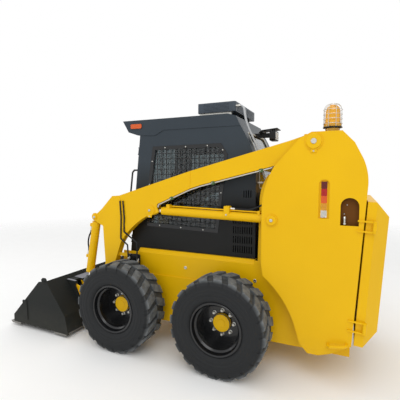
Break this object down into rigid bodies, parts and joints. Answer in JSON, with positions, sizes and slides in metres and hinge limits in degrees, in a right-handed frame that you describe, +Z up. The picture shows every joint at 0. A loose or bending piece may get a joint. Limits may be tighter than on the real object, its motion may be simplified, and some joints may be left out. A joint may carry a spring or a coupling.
{
  "type": "skid steer loader",
  "caption": "Compact wheeled loader with an enclosed cab, lift arms pivoted on rear towers, a tilting bucket, and doors that open at the front and rear",
  "frame": {"origin": "on the ground, at the middle of the overall length and width", "axes": "+X forward to the bucket, +Y to the machine's left, +Z up"},
  "size_m": [3.6247, 1.792, 2.315],
  "materials": {
    "yellow_paint": "baked yellow enamel on steel plate",
    "black_paint": "satin black enamel on steel plate",
    "cab_paint": "slate black powder coat on cab panels",
    "bucket_paint": "flat charcoal paint on bucket plate",
    "wear_steel": "bare wear steel, scuffed",
    "chrome_rod": "hard chromed rod",
    "tyre_rubber": "dusty black tyre rubber",
    "cab_glass": "tinted safety glass",
    "seat_vinyl": "black grained vinyl",
    "black_plastic": "moulded black plastic",
    "amber_lens": "clear amber plastic lens",
    "red_lens": "red plastic lens",
    "unit_cover": "dark moulded cover",
    "engine_paint": "painted cast iron"
  },
  "bodies": {
    "root": {"chassis_frame": "yellow_paint", "cab_floor": "black_paint", "axle_housings": "black_paint", "tower_left": "yellow_paint", "tower_right": "yellow_paint", "engine_block": "engine_paint", "tail_lamps": "red_lens", "beacon": "amber_lens", "cab_roof": "cab_paint", "cab_side_left": "cab_paint", "cab_side_right": "cab_paint", "cab_rear_wall": "cab_paint", "cab_windows": "cab_glass", "window_guards": "black_paint", "roof_unit": "unit_cover", "seat": "seat_vinyl", "controls": "black_plastic", "lap_bar": "black_paint", "marker_lamps": "amber_lens", "work_lamps": "black_plastic", "grab_bars": "black_paint"},
    "arms": {"arm_left": "yellow_paint", "arm_right": "yellow_paint", "arm_cross_tubes": "yellow_paint", "arm_lines": "black_plastic"},
    "lift_barrels": {"lift_barrels": "yellow_paint"},
    "lift_rods": {"lift_rods": "chrome_rod"},
    "tilt_barrels": {"tilt_barrels": "yellow_paint"},
    "tilt_rods": {"tilt_rods": "chrome_rod"},
    "bucket": {"bucket_shell": "bucket_paint", "bucket_mount": "bucket_paint", "cutting_edge": "wear_steel", "quick_attach": "yellow_paint"},
    "cab_door": {"cab_door": "cab_paint", "cab_door_glass": "cab_glass"},
    "hood": {"hood": "yellow_paint"},
    "rear_door": {"rear_door": "yellow_paint"},
    "wheel_front_left": {"tyre_front_left": "tyre_rubber", "wheel_front_left": "black_paint"},
    "wheel_front_right": {"tyre_front_right": "tyre_rubber", "wheel_front_right": "black_paint"},
    "wheel_rear_left": {"tyre_rear_left": "tyre_rubber", "wheel_rear_left": "black_paint"},
    "wheel_rear_right": {"tyre_rear_right": "tyre_rubber", "wheel_rear_right": "black_paint"}
  },
  "joints": [
    {"name": "lift", "type": "hinge", "parent": "root", "child": "arms", "pos_m": [-1.2835, 0, 1.896], "axis": [0, -1, 0], "range_deg": [0, 62]},
    {"name": "lift_cylinder_swing", "type": "hinge", "parent": "root", "child": "lift_barrels", "pos_m": [-0.9745, 0, 1.279], "axis": [0, -1, 0], "range_deg": [0, 60.4]},
    {"name": "lift_rod_slide", "type": "slide", "parent": "lift_barrels", "child": "lift_rods", "axis": [0.9998, 0, 0.0222], "range_m": [0, 0.713]},
    {"name": "bucket_tilt", "type": "hinge", "parent": "arms", "child": "bucket", "pos_m": [0.9125, 0, 0.175], "axis": [0, 1, 0], "range_deg": [-20, 98]},
    {"name": "tilt_cylinder_swing", "type": "hinge", "parent": "arms", "child": "tilt_barrels", "pos_m": [0.8665, 0, 1.205], "axis": [0, -1, 0], "range_deg": [-1, 4]},
    {"name": "tilt_rod_slide", "type": "slide", "parent": "tilt_barrels", "child": "tilt_rods", "axis": [0.1766, 0, -0.9843], "range_m": [-0.075, 0.34]},
    {"name": "cab_door_hinge", "type": "hinge", "parent": "root", "child": "cab_door", "pos_m": [0.48842, 0.4, 1.30433], "axis": [-0.1025, 0, 0.9947], "range_deg": [0, 90]},
    {"name": "hood_hinge", "type": "hinge", "parent": "root", "child": "hood", "pos_m": [-0.8675, 0, 1.455], "axis": [0, 1, 0], "range_deg": [0, 50]},
    {"name": "rear_door_hinge", "type": "hinge", "parent": "root", "child": "rear_door", "pos_m": [-1.6939, 0.62, 0.9075], "axis": [0.0583, 0, -0.9983], "range_deg": [0, 105]},
    {"name": "wheel_front_left_spin", "type": "hinge", "parent": "root", "child": "wheel_front_left", "pos_m": [0.4175, 0.7425, 0.409], "axis": [0, 1, 0], "continuous": true},
    {"name": "wheel_front_right_spin", "type": "hinge", "parent": "root", "child": "wheel_front_right", "pos_m": [0.4175, -0.7425, 0.409], "axis": [0, 1, 0], "continuous": true},
    {"name": "wheel_rear_left_spin", "type": "hinge", "parent": "root", "child": "wheel_rear_left", "pos_m": [-0.5975, 0.7425, 0.409], "axis": [0, 1, 0], "continuous": true},
    {"name": "wheel_rear_right_spin", "type": "hinge", "parent": "root", "child": "wheel_rear_right", "pos_m": [-0.5975, -0.7425, 0.409], "axis": [0, 1, 0], "continuous": true}
  ],
  "couplings": [
    {"joint": "lift_cylinder_swing", "follows": "lift", "ratio": 0.96542},
    {"joint": "lift_rod_slide", "follows": "lift", "m_per_rad": 0.65487},
    {"joint": "tilt_cylinder_swing", "follows": "bucket_tilt", "ratio": 0.025},
    {"joint": "tilt_rod_slide", "follows": "bucket_tilt", "m_per_rad": 0.19481}
  ]
}
